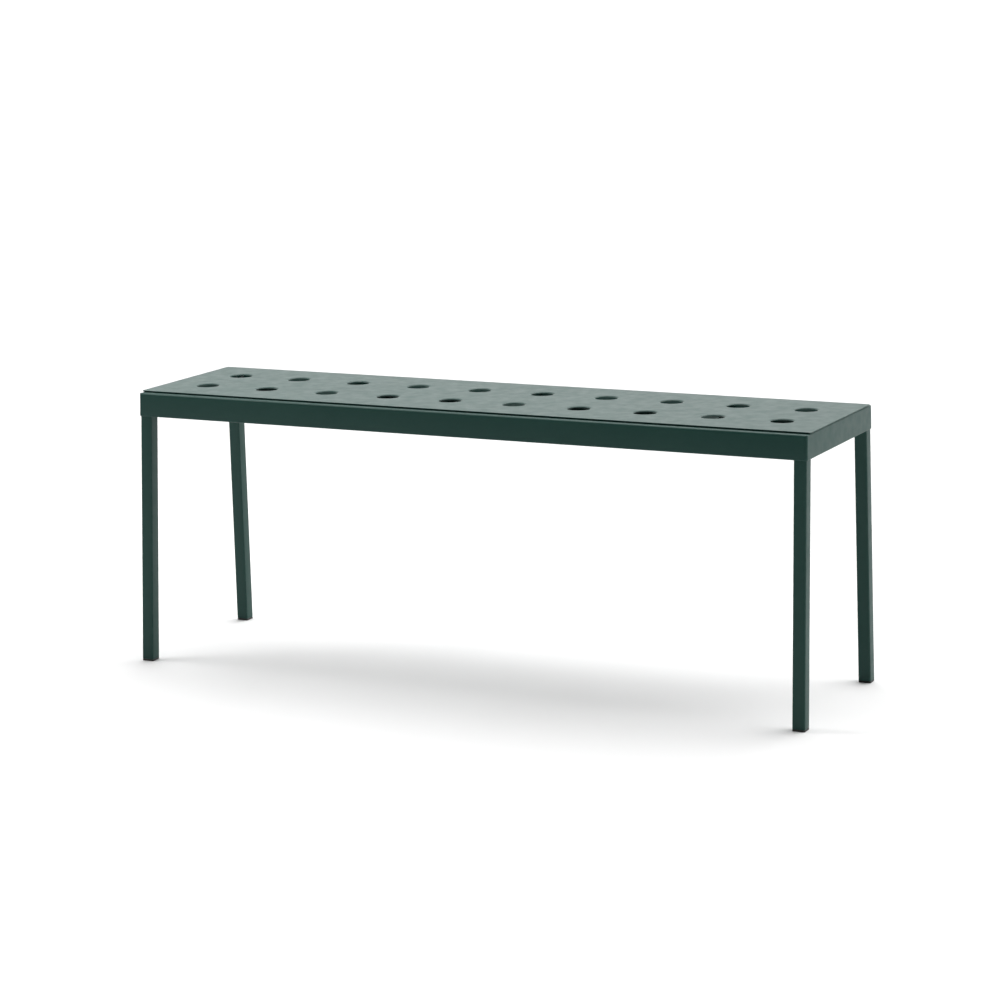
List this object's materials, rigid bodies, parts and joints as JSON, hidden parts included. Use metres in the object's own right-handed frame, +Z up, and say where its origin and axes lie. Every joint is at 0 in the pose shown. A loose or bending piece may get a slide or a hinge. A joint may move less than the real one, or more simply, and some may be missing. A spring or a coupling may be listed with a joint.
{
  "type": "backless bench",
  "caption": "Long low bench without a back: a pierced sheet steel seat on a shallow apron frame with slim splayed tube legs and plastic foot caps.",
  "frame": {"origin": "on the floor under the middle of the seat", "axes": "+X along the bench, +Y towards its back, +Z up"},
  "size_m": [1.136, 0.3224, 0.44],
  "materials": {
    "frame_steel": "dark green semi-matt powder coat",
    "foot_plastic": "black moulded plastic",
    "fasteners": "zinc plated",
    "damping_rubber": "matt dark grey foam rubber"
  },
  "bodies": {
    "root": {"seat_panel": "frame_steel", "front_rail": "frame_steel", "panel_spacer_front": "frame_steel", "back_rail": "frame_steel", "panel_spacer_back": "frame_steel", "left_end_rail": "frame_steel", "panel_spacer_left_end": "frame_steel", "right_end_rail": "frame_steel", "panel_spacer_right_end": "frame_steel", "cross_member_left": "frame_steel", "damping_strip_left": "damping_rubber", "cross_member_middle": "frame_steel", "damping_strip_middle": "damping_rubber", "cross_member_right": "frame_steel", "damping_strip_right": "damping_rubber", "leg_front_left": "frame_steel", "leg_bracket_front_left": "frame_steel", "nut_plate_front_left": "fasteners", "foot_plug_front_left": "foot_plastic", "leg_washer_front_left_lower": "fasteners", "leg_bolt_front_left_lower": "fasteners", "leg_washer_front_left_upper": "fasteners", "leg_bolt_front_left_upper": "fasteners", "leg_front_right": "frame_steel", "leg_bracket_front_right": "frame_steel", "nut_plate_front_right": "fasteners", "foot_plug_front_right": "foot_plastic", "leg_washer_front_right_lower": "fasteners", "leg_bolt_front_right_lower": "fasteners", "leg_washer_front_right_upper": "fasteners", "leg_bolt_front_right_upper": "fasteners", "leg_back_left": "frame_steel", "leg_bracket_back_left": "frame_steel", "nut_plate_back_left": "fasteners", "foot_plug_back_left": "foot_plastic", "leg_washer_back_left_lower": "fasteners", "leg_bolt_back_left_lower": "fasteners", "leg_washer_back_left_upper": "fasteners", "leg_bolt_back_left_upper": "fasteners", "leg_back_right": "frame_steel", "leg_bracket_back_right": "frame_steel", "nut_plate_back_right": "fasteners", "foot_plug_back_right": "foot_plastic", "leg_washer_back_right_lower": "fasteners", "leg_bolt_back_right_lower": "fasteners", "leg_washer_back_right_upper": "fasteners", "leg_bolt_back_right_upper": "fasteners"}
  },
  "joints": []
}
